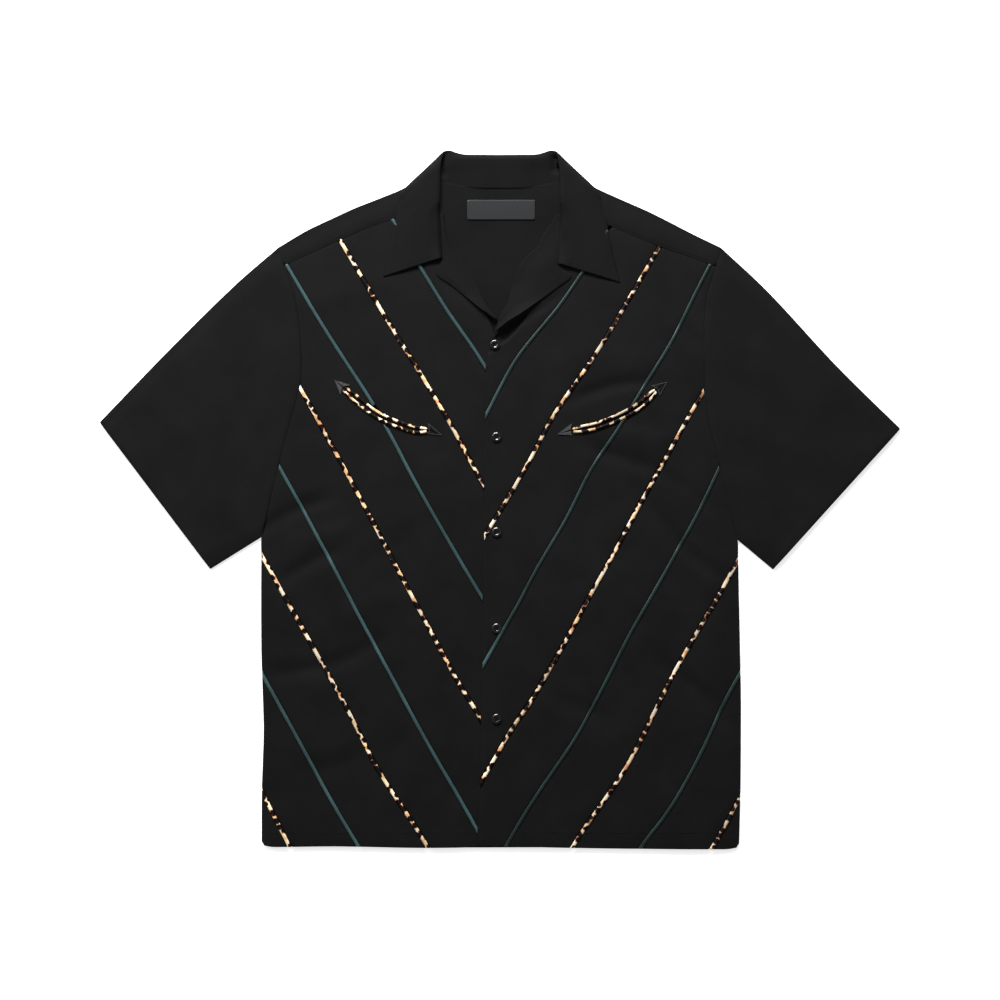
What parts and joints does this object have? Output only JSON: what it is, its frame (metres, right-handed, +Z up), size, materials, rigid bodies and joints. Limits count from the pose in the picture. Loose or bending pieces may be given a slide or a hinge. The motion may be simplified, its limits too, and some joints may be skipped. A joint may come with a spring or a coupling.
{
  "type": "western shirt",
  "caption": "Boxy short-sleeved western shirt with a camp collar, corded diagonal joints and smile pockets, laid flat face up.",
  "frame": {"origin": "centre of the bounding box's bottom face, on the surface that the shirt lies on", "axes": "+X to the right as seen from above, from the left sleeve tip to the right one; +Y from the hem to the neck; +Z up, out of the front"},
  "size_m": [0.864, 0.7532, 0.0084],
  "materials": {
    "cloth": "matte black woven twill",
    "teal": "satin piping",
    "leopard": "printed satin piping",
    "arrow": "satin stitch",
    "button": "gloss",
    "label": "woven satin, bare"
  },
  "bodies": {
    "root": {"back": "cloth", "yoke_back": "cloth", "yoke_front_left": "cloth", "yoke_front_right": "cloth", "strip_left_1": "cloth", "strip_left_2": "cloth", "strip_left_3": "cloth", "strip_left_4": "cloth", "strip_left_5": "cloth", "strip_left_6": "cloth", "strip_left_7": "cloth", "strip_left_8": "cloth", "strip_left_9": "cloth", "strip_right_1": "cloth", "strip_right_2": "cloth", "strip_right_3": "cloth", "strip_right_4": "cloth", "strip_right_5": "cloth", "strip_right_6": "cloth", "strip_right_7": "cloth", "strip_right_8": "cloth", "strip_right_9": "cloth", "sleeve_left": "cloth", "sleeve_right": "cloth", "lapel_left": "cloth", "lapel_right": "cloth", "collar": "cloth", "teal_left_1": "teal", "teal_left_3_upper": "teal", "teal_left_3_lower": "teal", "teal_left_5": "teal", "teal_left_7": "teal", "teal_right_1": "teal", "teal_right_3_upper": "teal", "teal_right_3_lower": "teal", "teal_right_5": "teal", "teal_right_7": "teal", "leopard_left_2": "leopard", "leopard_left_4": "leopard", "leopard_left_6": "leopard", "leopard_left_8": "leopard", "leopard_right_2": "leopard", "leopard_right_4": "leopard", "leopard_right_6": "leopard", "leopard_right_8": "leopard", "welt_left_upper": "leopard", "welt_left_lower": "leopard", "welt_right_upper": "leopard", "welt_right_lower": "leopard", "arrow_left_inner": "arrow", "arrow_left_outer": "arrow", "arrow_right_inner": "arrow", "arrow_right_outer": "arrow", "button_1": "button", "button_2": "button", "button_3": "button", "button_4": "button", "button_5": "button", "label": "label"}
  },
  "joints": []
}
